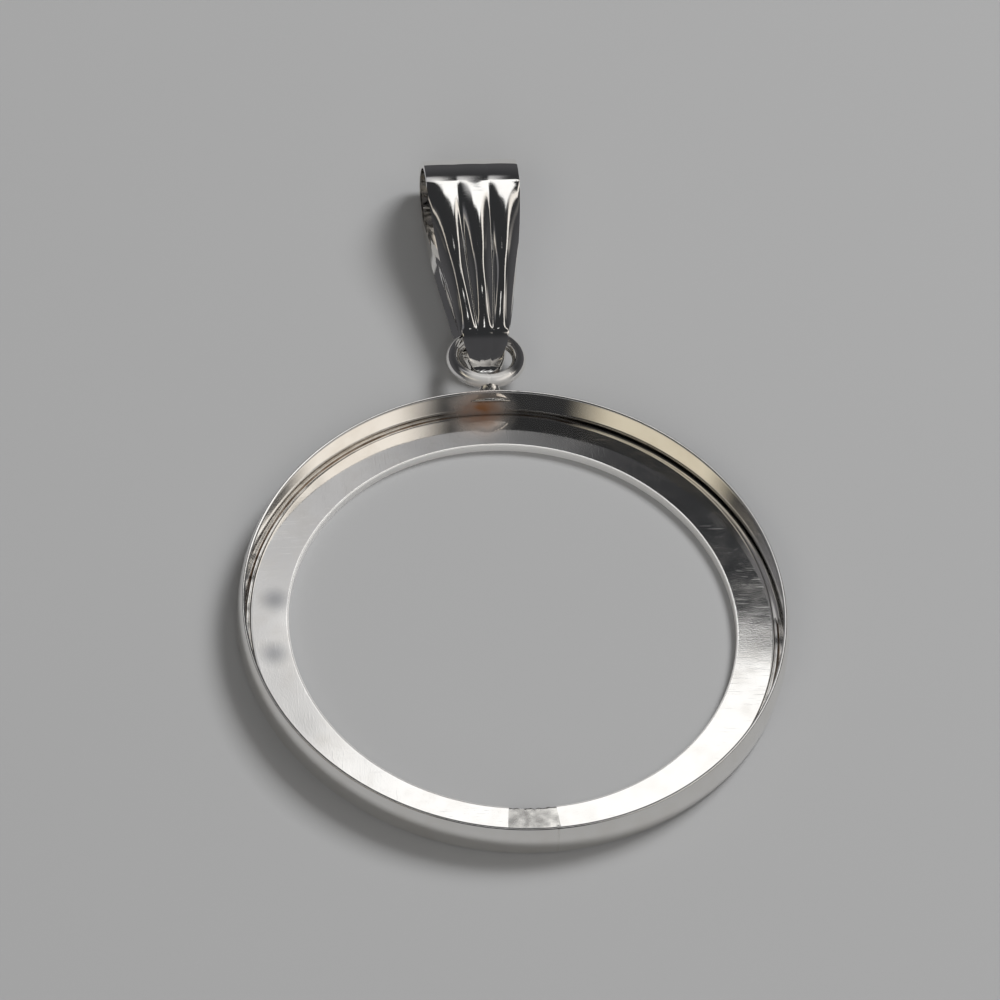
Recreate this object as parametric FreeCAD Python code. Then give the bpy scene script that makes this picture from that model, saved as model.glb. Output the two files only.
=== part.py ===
"""Open-back round bezel pendant mount for a 25 mm coin, in polished silver, lying on its back.

Millimetres. +Z is up and out of the open front of the coin pocket, +Y runs from the middle of the ring
to the bail. The origin is the centre of the ring on the surface that the mount lies on.

The mount is a hoop of domed strip (the wall), a flat ring inside its foot (the seat) that the coin rests
on, a jump ring soldered to the wall, and a folded, fluted bail that hangs on the jump ring.
"""

import FreeCAD, Part

import math
import os

from FreeCAD import Vector

# Coin pocket
COIN_D = 25.0
COIN_CLEAR = 0.15
WALL_RIM_T = 0.25
WALL_BELLY = 0.20
WALL_H = 1.82
RIM_ROUND = 0.07
FOOT_ROUND = 0.08
WALL_SEAM_ANGLE = 4.2
WALL_SEAM_W = 0.10

# Seat
SEAT_W = 2.03
SEAT_INNER_T = 0.45
SEAT_OUTER_T = 0.37
SEAT_REBATE = 0.18
SEAT_REBATE_OVER = 0.04
SEAT_GROOVE_W = 0.38
SEAT_GROOVE_DEPTH = 0.26
SEAT_GROOVE_FLANK = 0.04
SEAT_EDGE_ROUND = 0.07
SEAT_BEAD = 0.12
SEAT_JOINT_W = 2.45
SEAT_JOINT_PROUD = 0.03
SEAT_JOINT_INSET = 0.06

# Jump ring, tilted so that its far side is the lower one
RING_WIRE_D = 0.68
RING_OD = 3.84
RING_STAND_OFF = 0.24
RING_Z = 1.20
RING_TILT = 10.0
RING_CUT_W = 0.10
RING_SOLDER_R_WALL = 0.62
RING_SOLDER_R_WIRE = 0.36

# Bail: one strip folded at the crown, its back half flat on the surface
BAIL_SHEET = 0.34
BAIL_DEPTH = 3.40
BAIL_CROWN_HALF_W = 2.25
BAIL_BEND_HALF_W = 1.10
BAIL_TAIL_HALF_W = 0.92
BAIL_CROWN_REACH = 9.75
BAIL_CROWN_R = 2.20
BAIL_SHOULDER_REACH = 2.00
BAIL_SHOULDER_R = 9.00
BAIL_BEND_Z = 2.15
BAIL_BEND_REACH = 0.62
BAIL_BEND_R = 0.90
BAIL_FOOT_R = 0.30
BAIL_FOOT = 0.22
BAIL_TAIL_REACH = 1.96
BAIL_SOLDER_T = 0.03
BAIL_SOLDER_RUN = 0.12
BAIL_SOLDER_SHARE = 0.94
BAIL_TAPER_POWER = 1.7
FLUTE_DEPTH = 0.26
FLUTE_MIN = 0.02
LOBES = 3
EDGE_DROP = 0.30
EDGE_DROP_MIN = 0.015
FLUTE_SKEW = 0.8
STATIONS_FLANK = 8
STATIONS_BACK = 8
STATIONS_CROWN = 7
STATIONS_ARC = 3
STATIONS_FOOT = 2

# Along and across at 45 degrees on an arc
HALF_TURN = math.sqrt(0.5)

# The bail turns a little inside the middle line of the ring's wire, where it bears on both sides
PIVOT_IN = 0.10

POCKET_R = COIN_D / 2 + COIN_CLEAR
WALL_FOOT_R = POCKET_R + WALL_RIM_T
WINDOW_R = POCKET_R - SEAT_W
SEAT_R = POCKET_R + SEAT_REBATE
RING_R = (RING_OD - RING_WIRE_D) / 2
WIRE_R = RING_WIRE_D / 2
TILT = math.radians(RING_TILT)
RING_Y = WALL_FOOT_R + WALL_BELLY + RING_STAND_OFF + WIRE_R + RING_R * math.cos(TILT)
PIVOT_Y = RING_Y + (RING_R - PIVOT_IN) * math.cos(TILT)
PIVOT_Z = RING_Z - (RING_R - PIVOT_IN) * math.sin(TILT)
BAIL_TIP_Y = PIVOT_Y - BAIL_TAIL_REACH
BAIL_FOOT_Z = 2 * (BAIL_SHEET + FLUTE_MIN + EDGE_DROP_MIN) + BAIL_SOLDER_T
BAIL_BEND_Y = PIVOT_Y - BAIL_BEND_REACH
BAIL_CROWN_Y = PIVOT_Y + BAIL_CROWN_REACH - BAIL_CROWN_R
BAIL_SHOULDER_Y = BAIL_CROWN_Y - BAIL_SHOULDER_REACH

PARTS = "parts"


def point(r, z):
    """A point of a section that is turned about the ring's axis."""
    return Vector(r, 0, z)


def line(a, b):
    return Part.LineSegment(a, b).toShape()


def arc(a, b, c):
    return Part.Arc(a, b, c).toShape()


def revolve(edges):
    face = Part.Face(Part.Wire(edges))
    return face.revolve(Vector(0, 0, 0), Vector(0, 0, 1), 360)


def wall_profile():
    """Straight inside above a rebate for the seat, domed outside, with its rim and foot chamfered."""
    outer = POCKET_R + WALL_RIM_T
    rebate_z = SEAT_INNER_T + SEAT_REBATE_OVER
    inner_foot = point(SEAT_R, 0)
    rebate_out = point(SEAT_R, rebate_z)
    rebate_in = point(POCKET_R, rebate_z)
    rim_low = point(POCKET_R, WALL_H - RIM_ROUND)
    rim_in = point(POCKET_R + RIM_ROUND, WALL_H)
    rim_out = point(outer - RIM_ROUND, WALL_H)
    top = point(outer, WALL_H - RIM_ROUND)
    belly = point(outer + WALL_BELLY, (WALL_H - RIM_ROUND + FOOT_ROUND) / 2)
    low = point(outer + WALL_BELLY / 2, FOOT_ROUND)
    foot = point(outer + WALL_BELLY / 2 - FOOT_ROUND, 0)
    return [
        line(inner_foot, rebate_out),
        line(rebate_out, rebate_in),
        line(rebate_in, rim_low),
        line(rim_low, rim_in),
        line(rim_in, rim_out),
        line(rim_out, top),
        arc(top, belly, low),
        line(low, foot),
        line(foot, inner_foot),
    ]


def sector(width, angle, height):
    """A straight-sided block of the given width, from the axis outwards; angle is from -Y towards +X."""
    block = Part.makeBox(width, 2 * WALL_FOOT_R, 4 * height, Vector(-width / 2, -2 * WALL_FOOT_R, -height))
    block.rotate(Vector(0, 0, 0), Vector(0, 0, 1), angle)
    return block


def bezel_wall(hoop):
    return hoop.cut(sector(WALL_SEAM_W, WALL_SEAM_ANGLE, WALL_H))


def wall_seam_solder(hoop):
    return hoop.common(sector(WALL_SEAM_W, WALL_SEAM_ANGLE, WALL_H))


def seat_profile(raise_by):
    """Flat below, sloping down to the wall, with a worn edge at the window and a groove at the wall."""
    groove_r = SEAT_R - SEAT_GROOVE_W
    slope = (SEAT_OUTER_T - SEAT_INNER_T) / SEAT_W
    edge_z = SEAT_INNER_T + slope * SEAT_EDGE_ROUND + raise_by
    shoulder_z = SEAT_INNER_T + slope * (groove_r - WINDOW_R) + raise_by
    groove_z = SEAT_OUTER_T - SEAT_GROOVE_DEPTH
    window_low = point(WINDOW_R, 0)
    window_top = point(WINDOW_R, edge_z - SEAT_EDGE_ROUND)
    edge_top = point(WINDOW_R + SEAT_EDGE_ROUND, edge_z)
    shoulder = point(groove_r, shoulder_z)
    groove_in = point(groove_r + SEAT_GROOVE_FLANK, groove_z)
    groove = point(SEAT_R, groove_z)
    foot = point(SEAT_R, 0)
    return [
        line(window_low, window_top),
        line(window_top, edge_top),
        line(edge_top, shoulder),
        line(shoulder, groove_in),
        line(groove_in, groove),
        line(groove, foot),
        line(foot, window_low),
    ]


def seat_bead_profile():
    """Solder drawn into the corner of the groove between the seat and the wall."""
    groove_z = SEAT_OUTER_T - SEAT_GROOVE_DEPTH
    corner_point = point(SEAT_R, groove_z)
    top = point(SEAT_R, groove_z + SEAT_BEAD)
    inner = point(SEAT_R - SEAT_BEAD, groove_z)
    return [line(corner_point, top), line(top, inner), line(inner, corner_point)]


def seat_ring(seat):
    return seat.cut(sector(SEAT_JOINT_W, 0, WALL_H))


def seat_joint_patch():
    """The filler that closes the seat's two ends: a shade proud, and short of the window's edge."""
    proud = revolve(seat_profile(SEAT_JOINT_PROUD))
    clear = Part.makeCylinder(WINDOW_R + SEAT_JOINT_INSET, 4 * WALL_H, Vector(0, 0, -WALL_H))
    return proud.common(sector(SEAT_JOINT_W, 0, WALL_H)).cut(clear)


def seat_solder():
    return revolve(seat_bead_profile()).cut(sector(SEAT_JOINT_W, 0, WALL_H))


def place_ring(shape):
    shape.rotate(Vector(0, 0, 0), Vector(1, 0, 0), -RING_TILT)
    shape.translate(Vector(0, RING_Y, RING_Z))
    return shape


def full_ring():
    return place_ring(Part.makeTorus(RING_R, WIRE_R))


def jump_ring():
    """A closed wire ring; its cut ends meet at the wall, inside the solder."""
    cut = Part.makeBox(RING_CUT_W, RING_OD, RING_OD, Vector(-RING_CUT_W / 2, -RING_OD, -RING_OD / 2))
    return full_ring().cut(place_ring(cut))


def ring_solder(hoop):
    """A neck of solder from the wall's dome to the near side of the jump ring."""
    near = Vector(0, RING_Y - RING_R * math.cos(TILT), RING_Z + RING_R * math.sin(TILT))
    root = Vector(0, WALL_FOOT_R - WALL_RIM_T / 2, WALL_H / 2)
    neck = Part.makeCone(RING_SOLDER_R_WALL, RING_SOLDER_R_WIRE, (near - root).Length, root, near - root)
    solid_hoop = hoop.fuse(Part.makeCylinder(POCKET_R + WALL_RIM_T / 2, WALL_H))
    neck = neck.cut(solid_hoop).cut(jump_ring())
    return max(neck.Solids, key=lambda solid: solid.Volume)


def corner(before, at, after, radius):
    """The tangent arc that rounds a corner: its start, middle and end."""
    back = (before - at).normalize()
    on = (after - at).normalize()
    half = back.getAngle(on) / 2
    inward = (back + on).normalize()
    trim = radius / math.tan(half)
    centre = at + inward * (radius / math.sin(half))
    return at + back * trim, centre - inward * radius, at + on * trim


def crest():
    """The strip's outer crest as edges, with the stations on each: front tail, front, crown and flat back."""
    end_y = PIVOT_Y + BAIL_CROWN_REACH
    tip = Vector(0, BAIL_TIP_Y, BAIL_FOOT_Z)
    foot = tip + Vector(0, BAIL_FOOT, 0)
    bend = Vector(0, BAIL_BEND_Y, BAIL_BEND_Z)
    shoulder = Vector(0, BAIL_SHOULDER_Y, BAIL_DEPTH)
    foot_arc = corner(tip, foot, bend, BAIL_FOOT_R)
    bend_arc = corner(foot, bend, shoulder, BAIL_BEND_R)
    shoulder_arc = corner(bend, shoulder, Vector(0, end_y, BAIL_DEPTH), BAIL_SHOULDER_R)
    low_r = BAIL_DEPTH - BAIL_CROWN_R
    crown_top = Vector(0, BAIL_CROWN_Y, BAIL_DEPTH)
    crown_end = Vector(0, end_y, low_r)
    crown_low = Vector(0, end_y - low_r, 0)
    top_mid = crown_end - Vector(0, BAIL_CROWN_R, 0) + Vector(0, 1, 1) * (BAIL_CROWN_R * HALF_TURN)
    low_mid = crown_end - Vector(0, low_r, 0) + Vector(0, 1, -1) * (low_r * HALF_TURN)
    return [
        (line(tip, foot_arc[0]), STATIONS_FOOT),
        (arc(*foot_arc), STATIONS_ARC),
        (line(foot_arc[2], bend_arc[0]), STATIONS_FOOT),
        (arc(*bend_arc), STATIONS_ARC),
        (line(bend_arc[2], shoulder_arc[0]), STATIONS_FLANK),
        (arc(*shoulder_arc), STATIONS_ARC),
        (line(shoulder_arc[2], crown_top), STATIONS_FOOT),
        (arc(crown_top, top_mid, crown_end), STATIONS_CROWN),
        (arc(crown_end, low_mid, crown_low), STATIONS_CROWN),
        (line(crown_low, Vector(0, BAIL_TIP_Y, 0)), STATIONS_BACK),
    ]


def half_width(y):
    """Half the strip's width at a reach along the bail: narrow tail, full width at the crown."""
    if y < BAIL_BEND_Y:
        share = (y - BAIL_TIP_Y) / (BAIL_BEND_Y - BAIL_TIP_Y)
        return BAIL_TAIL_HALF_W + (BAIL_BEND_HALF_W - BAIL_TAIL_HALF_W) * share
    share = min(1.0, (y - BAIL_BEND_Y) / (BAIL_CROWN_Y - BAIL_BEND_Y))
    return BAIL_BEND_HALF_W + (BAIL_CROWN_HALF_W - BAIL_BEND_HALF_W) * (1 - (1 - share) ** BAIL_TAPER_POWER)


def flute_share(y):
    """How deep the flutes are: none at the tail's bend and on the crown, full between them."""
    share = min(1.0, max(0.0, (y - BAIL_BEND_Y) / (BAIL_CROWN_Y - BAIL_BEND_Y)))
    return math.sin(math.pi * share ** FLUTE_SKEW)


def strip_section(at, along):
    """One closed section of the strip: three convex lobes outside, and the same form inside."""
    out = Vector(0, -along.z, along.y)
    half_w = half_width(at.y)
    share = flute_share(at.y)
    flute = FLUTE_MIN + (FLUTE_DEPTH - FLUTE_MIN) * share
    drop = EDGE_DROP_MIN + (EDGE_DROP - EDGE_DROP_MIN) * share

    def across(x, lower):
        return at + Vector(x * half_w, 0, 0) - out * (drop * x * x + lower)

    outside = []
    inside = []
    for i in range(LOBES):
        left = -1 + 2 * i / LOBES
        middle = left + 1 / LOBES
        right = left + 2 / LOBES
        for edges, side in ((outside, 0), (inside, BAIL_SHEET)):
            edges.append(arc(across(left, flute + side), across(middle, side), across(right, flute + side)))
    left_edge = line(across(-1, flute), across(-1, flute + BAIL_SHEET))
    right_edge = line(across(1, flute), across(1, flute + BAIL_SHEET))
    return Part.Wire(Part.__sortEdges__(outside + [right_edge] + inside + [left_edge]))


def beyond_tips():
    """What is cut from the tails to round their tips."""
    reach = 2 * BAIL_TAIL_HALF_W
    low = Vector(-reach, BAIL_TIP_Y - BAIL_TAIL_HALF_W, -BAIL_DEPTH)
    block = Part.makeBox(2 * reach, reach, 3 * BAIL_DEPTH, low)
    centre = Vector(0, BAIL_TIP_Y + BAIL_TAIL_HALF_W, -BAIL_DEPTH)
    return block.cut(Part.makeCylinder(BAIL_TAIL_HALF_W, 3 * BAIL_DEPTH, centre))


def bail():
    """One strip folded over at the crown: lofted along its crest, its two tips cut round."""
    sections = []
    for edge, count in crest():
        first, last = edge.ParameterRange
        for k in range(count):
            t = first + (last - first) * k / count
            sections.append(strip_section(edge.valueAt(t), edge.tangentAt(t)))
    sections.append(strip_section(edge.valueAt(last), edge.tangentAt(last)))
    return Part.makeLoft(sections, True, True).cut(beyond_tips())


def bail_solder(strip):
    """Solder between the two tails, drawn a little way up the front one."""
    length = BAIL_FOOT + BAIL_SOLDER_RUN
    low = Vector(-BAIL_TAIL_HALF_W * BAIL_SOLDER_SHARE, BAIL_TIP_Y, BAIL_SHEET / 2)
    block = Part.makeBox(-2 * low.x, length, BAIL_FOOT_Z - BAIL_SHEET, low)
    return block.cut(beyond_tips()).cut(strip)


def export(name, shape):
    solids = shape.Solids
    shape = solids[0] if len(solids) == 1 else Part.makeCompound(solids)
    print(f"{name}: {len(solids)} solid, {shape.Volume:.3f} mm3, valid {shape.isValid()}")
    shape.exportStep(f"{PARTS}/{name}.step")


def main():
    os.makedirs("parts", exist_ok=True)
    hoop = revolve(wall_profile())
    seat = revolve(seat_profile(0))
    export("bezel_wall", bezel_wall(hoop))
    export("wall_seam_solder", wall_seam_solder(hoop))
    export("seat_ring", seat_ring(seat))
    export("seat_joint_patch", seat_joint_patch())
    export("seat_solder", seat_solder())
    export("jump_ring", jump_ring())
    export("ring_solder", ring_solder(hoop))
    strip = bail()
    export("bail", strip)
    export("bail_solder", bail_solder(strip))


main()
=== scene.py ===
"""Open-back coin bezel mount in polished silver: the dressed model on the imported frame."""

import math

import bpy
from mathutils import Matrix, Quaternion, Vector


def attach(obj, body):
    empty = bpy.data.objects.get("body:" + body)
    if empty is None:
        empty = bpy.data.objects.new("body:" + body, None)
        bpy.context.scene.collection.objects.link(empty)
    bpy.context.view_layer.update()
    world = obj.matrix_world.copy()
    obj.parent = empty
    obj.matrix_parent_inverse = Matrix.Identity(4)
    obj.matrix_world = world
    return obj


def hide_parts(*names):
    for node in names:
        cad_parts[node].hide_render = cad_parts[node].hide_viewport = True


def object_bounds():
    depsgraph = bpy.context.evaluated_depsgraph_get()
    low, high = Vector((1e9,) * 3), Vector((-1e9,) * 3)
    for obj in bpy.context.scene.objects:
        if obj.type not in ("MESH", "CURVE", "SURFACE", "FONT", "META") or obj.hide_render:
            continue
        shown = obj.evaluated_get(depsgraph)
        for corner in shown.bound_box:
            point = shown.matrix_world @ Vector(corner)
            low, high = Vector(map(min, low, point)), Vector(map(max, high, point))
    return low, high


bl_info = {
    "name": "Coin Bezel Mount",
    "version": (1, 0, 0),
    "blender": (4, 5, 0),
    "location": "View3D > Sidebar > Coin Bezel",
    "description": "Models a round open-back bezel mount with its jump ring and folded bail",
    "category": "Add Mesh",
}

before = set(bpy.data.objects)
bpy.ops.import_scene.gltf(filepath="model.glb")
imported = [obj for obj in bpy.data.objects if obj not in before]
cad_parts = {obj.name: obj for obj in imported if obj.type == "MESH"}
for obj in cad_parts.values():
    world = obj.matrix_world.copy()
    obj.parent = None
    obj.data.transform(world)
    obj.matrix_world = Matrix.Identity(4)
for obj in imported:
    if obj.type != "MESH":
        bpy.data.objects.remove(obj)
CAD_BOX = [[float(c) for c in corner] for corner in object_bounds()]

MM = 0.001
TINY = 1e-7

# A trial turn, to learn which way the turning operators count
TRIAL_SHIFT = 20
TRIAL_TURN = 0.5
# How near, in millimetres, a vertex counts as a section's corner
CORNER_REACH = 0.004

# Wall and seat, in millimetres, as the frame has them
POCKET_R = 12.65
WALL_RIM_T = 0.25
WALL_BELLY = 0.20
WALL_H = 1.82
WALL_FLARE = 0.12
FLARE_Z = 0.30
RIM_LEAN = 0.012
WINDOW_R = 10.62
SEAT_INNER_Z = 0.45
SEAT_SHOULDER_Z = 0.378
SEAT_SHOULDER_R = 12.45
SEAT_GROOVE_Z = 0.11
FLAT_MARGIN = 0.12
SEAT_JOINT_W = 2.45
SEAT_W = 2.03
BELLY_STEPS = 12
SEAM_ANGLE = 4.2
SEAM_W = 0.10
JOINT_RAISE = 0.03
FILLER_INSET = 0.06
FILLER_STEPS = 24

# Jump ring
WIRE_R = 0.34
RING_R = 1.58
RING_Y = 15.236
RING_Z = 1.20
RING_TILT = 10.0

# Bail
SHEET = 0.34
BAIL_DEPTH = 3.40
TIP_Y = 14.734
TIP_Z = 0.78
FOOT = 0.22
FOOT_R = 0.30
BEND_Y = 16.074
BEND_Z = 2.15
BEND_R = 0.90
SHOULDER_Y = 22.40
SHOULDER_R = 18.0
FLANK_BULGE = 0.10
CROWN_Y = 24.54
CROWN_R = 2.20
LOBES = 3
LOBE_DEPTH = 0.24
EDGE_DROP = 0.285
EDGE_CREASE = 0.85
COLUMNS = 37
TAPER_POWER = 1.7
FLUTE_LEAST = 0.07
FLUTE_SKEW = 0.8

# Ragged edge of the filler, in millimetres from the window; lumps in the bead, in degrees
FILLER_PUSHES = (0.02, -0.03, 0.04, 0.0, -0.035, 0.05, -0.02, 0.03, -0.04, 0.015)
BEAD_LUMPS = (-68, -37, 96, 118, 141, 167, 188, 214)
BEAD_Z = 0.305
OPEN_GROOVE = (-6, 77)
GROOVE_DROP = 0.19
GROOVE_STEPS = 8

# The solder neck, from the wall to the wire
NECK_RADII = (1.35, 0.86, 0.56, 0.45, 0.52)
NECK_SQUASH = (1.0, 0.95, 0.96, 0.98, 1.03)

# Azimuths are from +Y towards +X, elevations from the floor, in degrees
CAMERA_AZIMUTH = -10.5
CAMERA_ELEVATION = 53.0
CAMERA_ROLL = 6.87
CAMERA_LENS = 600.0
LAMP_REACH = 0.6
LAMPS = (("window_lamp", 50, 46, 0.24, 2.6), ("fill_lamp", 195, 38, 0.5, 1.0))
# Two spots of painted shade on the seat's left: darker grey patches in the silver's colour
SEAT_SHADE_SPOTS = ((-11.15, 1.87, 0.42), (-11.43, -1.26, 0.42))

# Marks in the finish, painted shade and painted highlights, in millimetres, and their colours
# Painted shade: reach, strength and colour of the grey spots on the seat's left
SHADE_SPOT_REACH = 1.0
SHADE_SPOT_SHARE = 0.65
SHADE_SPOT_COLOUR = (0.30, 0.31, 0.33)
# Reach of the ring's solder coat, made matt and pale as a painted highlight
COAT_HIGHLIGHT_REACH = 1.9
STAIN_AT = (-0.45, POCKET_R, 0.62)
STAIN_REACH = 2.0
STAIN_COLOUR = (0.38, 0.18, 0.08)
# Painted highlight: the window's filed edge, matt and white
FILED_HIGHLIGHT_COLOUR = (0.93, 0.92, 0.90)
# Painted shade in the groove where the seat meets the wall
GROOVE_SHADE_COLOUR = (0.33, 0.22, 0.14)
FLUX_DARK = (0.24, 0.19, 0.15)
FLUX_PALE = (0.84, 0.82, 0.79)

# Backdrop, view and floor
BACKDROP = (0.80, 0.80, 0.80)
LOOK_AT = (0.1, 7.7, 0.0)
SENSOR_WIDTH = 36.0
FLOOR_GAP = 0.004

# Label, azimuths left and right, side softness, elevations low and high, softness, tone
SKY_LOW = (0.07, 0.07, 0.075)
SKY_HIGH = (0.028, 0.029, 0.031)
SKY_PANELS = (
    ("Right screen", 76, 140, 14, 38, 64, 4, (1.0, 0.95, 0.89)),
    ("Right corner", 26, 80, 5, 51.5, 56.5, 0.8, (1.0, 0.96, 0.91)),
    ("Left screen", -148, -84, 12, 38, 54.5, 1.2, (0.74, 0.68, 0.55)),
    ("Left corner", -88, -50, 6, 51, 54.5, 1.0, (0.62, 0.58, 0.52)),
    ("Left wash", -54, 0, 12, 49, 57, 2, (0.17, 0.17, 0.18)),
    ("Back glow", -14, 9, 5, 46, 57, 3, (0.52, 0.52, 0.53)),
    ("Back window", 4, 36, 3, 52.7, 60.5, 0.5, (1.15, 1.15, 1.15)),
    ("High window", -2, 20, 2.0, 76, 79, 1.0, (1.3, 1.3, 1.3)),
)


def start_clean():
    """Leave edit mode and drop every selection, as each operator acts on all that is selected."""
    if bpy.context.object and bpy.context.object.mode != "OBJECT":
        bpy.ops.object.mode_set(mode="OBJECT")
    bpy.ops.object.select_all(action="DESELECT")


def name_piece(name):
    piece = bpy.context.object
    piece.name = name
    piece.data.name = name
    return piece


def edit(piece):
    bpy.context.view_layer.objects.active = piece
    piece.select_set(True)
    bpy.ops.object.mode_set(mode="EDIT")


def pick(piece, wanted):
    """Select, in edit mode, only the vertices that the test wants, with the edges and faces between them."""
    bpy.ops.mesh.select_mode(type="VERT")
    bpy.ops.mesh.select_all(action="DESELECT")
    bpy.ops.object.mode_set(mode="OBJECT")
    for vertex in piece.data.vertices:
        vertex.select = wanted(vertex)
    bpy.ops.object.mode_set(mode="EDIT")


def trial_plane(shift):
    """A small plane moved off the origin, all selected in edit mode, to try a turn on."""
    start_clean()
    bpy.ops.mesh.primitive_plane_add(size=MM, location=(0, 0, 0))
    piece = name_piece("trial")
    edit(piece)
    bpy.ops.mesh.select_all(action="SELECT")
    bpy.ops.transform.translate(value=shift)
    return piece


def drop_trial(piece):
    bpy.ops.object.mode_set(mode="OBJECT")
    start_clean()
    bpy.context.view_layer.objects.active = piece
    piece.select_set(True)
    bpy.ops.object.delete()


def spin_sense():
    """Spin counts its angle the other way in some set-ups, so a trial spin gives the sign to use."""
    piece = trial_plane((TRIAL_SHIFT * MM, 0, 0))
    bpy.ops.mesh.spin(steps=1, angle=TRIAL_TURN, center=(0, 0, 0), axis=(0, 0, 1))
    bpy.ops.object.mode_set(mode="OBJECT")
    reached = max((vertex.co.y for vertex in piece.data.vertices), key=abs)
    drop_trial(piece)
    return 1 if reached > 0 else -1


def rotate_sense():
    """Rotate does so too, and its own trial gives the sign for a turn about X."""
    piece = trial_plane((0, TRIAL_SHIFT * MM, 0))
    bpy.ops.transform.rotate(value=TRIAL_TURN, orient_axis="X", center_override=(0, 0, 0))
    bpy.ops.object.mode_set(mode="OBJECT")
    reached = piece.data.vertices[0].co.z
    drop_trial(piece)
    return 1 if reached > 0 else -1


def section(name, corners, angle):
    """A flat many-sided face in the half-plane at the given angle, its corners (r, z) in millimetres."""
    start_clean()
    bpy.ops.mesh.primitive_circle_add(vertices=len(corners), radius=MM, fill_type="NGON", location=(0, 0, 0))
    piece = name_piece(name)
    places = [vertex.co.copy() for vertex in piece.data.vertices]
    edit(piece)
    outward = Vector((math.cos(angle), math.sin(angle), 0))
    for i, (r, z) in enumerate(corners):
        pick(piece, lambda vertex: vertex.index == i)
        target = outward * (r * MM) + Vector((0, 0, z * MM))
        bpy.ops.transform.translate(value=target - places[i])
    return piece


def soften(piece, at, radius, steps):
    """Round the section's corner that lies at (r, z)."""
    def near(vertex):
        r = math.hypot(vertex.co.x, vertex.co.y) / MM
        return math.hypot(r - at[0], vertex.co.z / MM - at[1]) < CORNER_REACH

    pick(piece, near)
    bpy.ops.mesh.bevel(offset=radius * MM, segments=steps, affect="VERTICES", profile=0.5)


def sweep(piece, sense, turn, steps):
    """Turn the whole section about the ring's axis and close the solid."""
    bpy.ops.mesh.select_all(action="SELECT")
    bpy.ops.mesh.spin(steps=steps, angle=sense * turn, center=(0, 0, 0), axis=(0, 0, 1))
    finish_mesh(piece, 35)


def finish_mesh(piece, smooth_angle):
    """Merge doubles, turn the faces outwards and shade smooth over the soft edges."""
    bpy.ops.mesh.select_all(action="SELECT")
    bpy.ops.mesh.remove_doubles(threshold=TINY)
    bpy.ops.mesh.normals_make_consistent(inside=False)
    bpy.ops.object.mode_set(mode="OBJECT")
    start_clean()
    bpy.context.view_layer.objects.active = piece
    piece.select_set(True)
    bpy.ops.object.shade_smooth_by_angle(angle=math.radians(smooth_angle))


def apply_modifier(piece, kind, **settings):
    start_clean()
    bpy.context.view_layer.objects.active = piece
    piece.select_set(True)
    modifier = piece.modifiers.new(kind.title(), kind)
    for key, value in settings.items():
        setattr(modifier, key, value)
    bpy.ops.object.modifier_apply(modifier=modifier.name)


def place(piece, body, slot, *nodes):
    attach(piece, body)
    if nodes:
        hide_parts(*nodes)


def wall_corners():
    """The wall's section: a leaning inner face, two rim edges, and a domed outer face."""
    outer = POCKET_R + WALL_RIM_T
    corners = [
        (POCKET_R, 0.0),
        (POCKET_R, FLARE_Z),
        (POCKET_R + WALL_FLARE * 0.03, FLARE_Z + (WALL_H - FLARE_Z) * 0.03),
        (POCKET_R + WALL_FLARE * 0.92, FLARE_Z + (WALL_H - FLARE_Z) * 0.92),
        (POCKET_R + WALL_FLARE, WALL_H - RIM_LEAN),
        (outer, WALL_H),
    ]
    half = WALL_H / 2
    for k in range(1, BELLY_STEPS):
        z = WALL_H * (1 - k / BELLY_STEPS)
        swell = 1 - ((z - half) / half) ** 2
        corners.append((outer + WALL_BELLY * (0.5 * (1 - z / WALL_H) + swell * 0.75), z))
    corners.append((outer + WALL_BELLY * 0.35, 0.0))
    return corners


class BEZEL_OT_wall(bpy.types.Operator):
    """Turn the domed strip of the wall, open at its soldered seam"""

    bl_idname = "bezel.wall"
    bl_label = "Wall"
    bl_options = {"REGISTER", "UNDO"}

    def execute(self, context):
        sizes = context.scene.bezel_sizes
        gap = SEAM_W / (POCKET_R + WALL_RIM_T)
        start = math.radians(SEAM_ANGLE - 90) + gap / 2
        corners = wall_corners()
        sense = spin_sense()
        piece = section("wall_hoop", corners, start)
        soften(piece, corners[4], sizes.rim_round / MM, 4)
        soften(piece, corners[5], sizes.rim_round / MM, 4)
        soften(piece, corners[-1], 0.08, 2)
        sweep(piece, sense, math.tau - gap, sizes.turn_steps)
        place(piece, "bezel", "silver", "bezel_wall")
        paint(piece, silver("Wall silver", sizes, stain=True))
        return {"FINISHED"}


class BEZEL_OT_seat(bpy.types.Operator):
    """Turn the flat ring of the seat, open where its two ends meet"""

    bl_idname = "bezel.seat"
    bl_label = "Seat"
    bl_options = {"REGISTER", "UNDO"}

    def execute(self, context):
        sizes = context.scene.bezel_sizes
        gap = 2 * math.asin(SEAT_JOINT_W / 2 / (POCKET_R - SEAT_W / 2))
        start = math.radians(-90) + gap / 2
        corners = seat_corners(0)
        sense = spin_sense()
        piece = section("seat_band", corners, start)
        soften(piece, corners[1], sizes.window_round / MM, 4)
        soften(piece, corners[4], sizes.shoulder_round / MM, 4)
        sweep(piece, sense, math.tau - gap, sizes.turn_steps)
        place(piece, "bezel", "silver", "seat_ring")
        # Painted highlight: the window's filed edge made matt and white
        # Painted shade: darker grey spots on the seat's left side
        paint(piece, silver("Seat silver", sizes, stain=True, filed_highlight_edge=True, shade_spots=SEAT_SHADE_SPOTS))
        return {"FINISHED"}


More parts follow.
